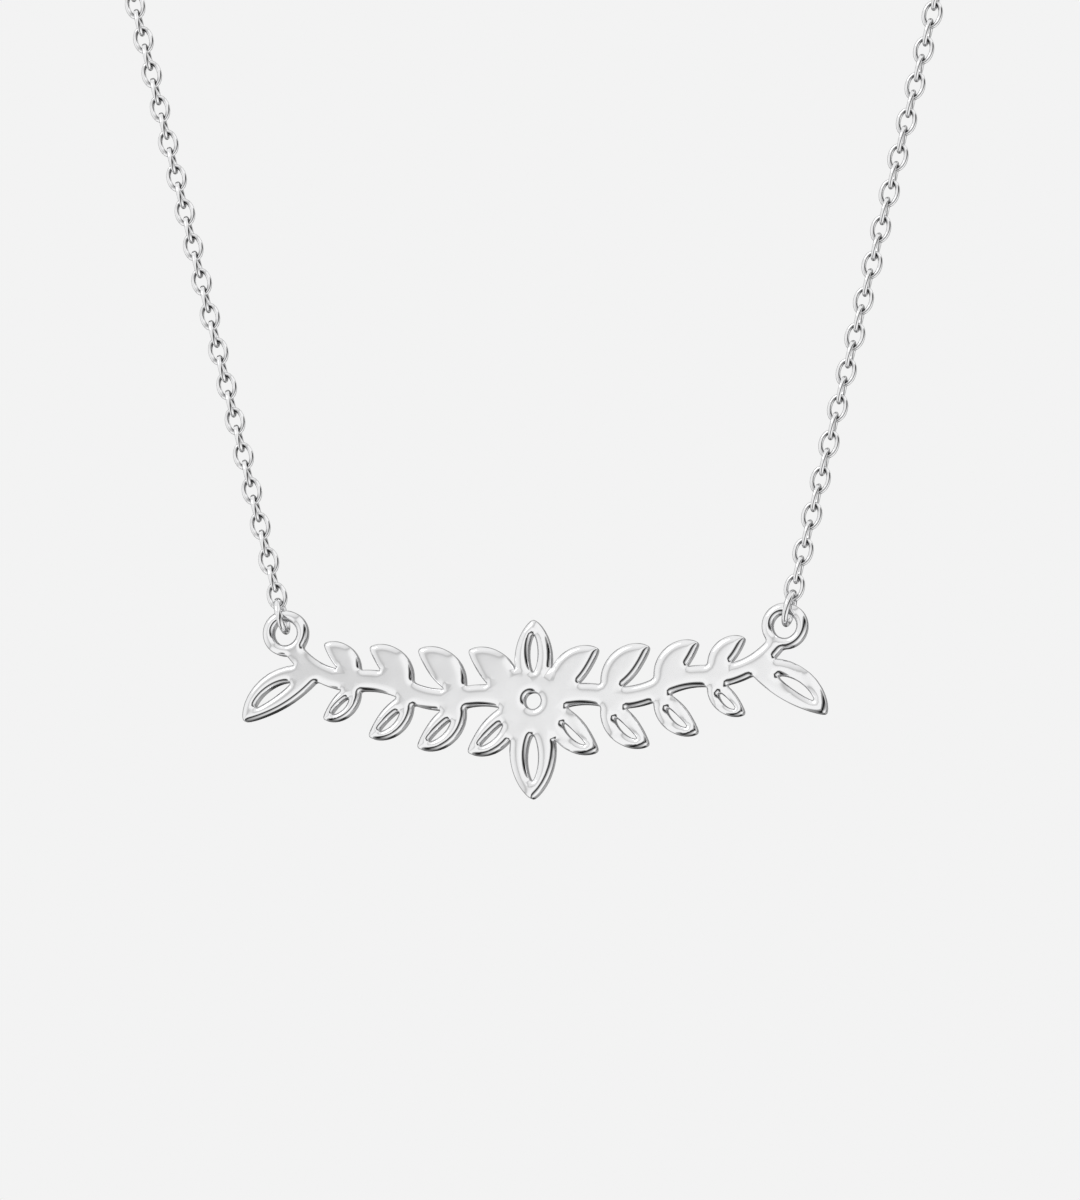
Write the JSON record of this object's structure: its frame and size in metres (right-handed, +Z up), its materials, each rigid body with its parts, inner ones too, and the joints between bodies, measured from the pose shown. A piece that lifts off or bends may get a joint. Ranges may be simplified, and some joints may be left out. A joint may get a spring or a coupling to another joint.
{
  "type": "nameplate necklace",
  "caption": "Fine silver cable chain necklace, hanging as worn, with a pierced plate of two leafy branches between two ring eyes and a plain ring clasp.",
  "frame": {"origin": "on the chain's centre line at the middle of the nape, inside the clasp's hooked stretch, where the necklace hangs from the neck", "axes": "+Z up, the plate faces -Y, +X to the right of the plate as it is seen from the front"},
  "size_m": [0.096, 0.0999, 0.123],
  "materials": {
    "plate_silver": "mirror-polished sterling silver with soft rounded edges",
    "chain_silver": "bright polished silver wire",
    "clasp_silver": "bright polished silver"
  },
  "bodies": {
    "root": {"nameplate": "plate_silver", "jump_ring_left": "chain_silver", "jump_ring_right": "chain_silver", "jump_ring_back": "chain_silver", "chain_left_front": "chain_silver", "chain_right_front": "chain_silver", "chain_left_back": "chain_silver", "chain_right_back": "chain_silver", "clasp": "clasp_silver"}
  },
  "joints": []
}
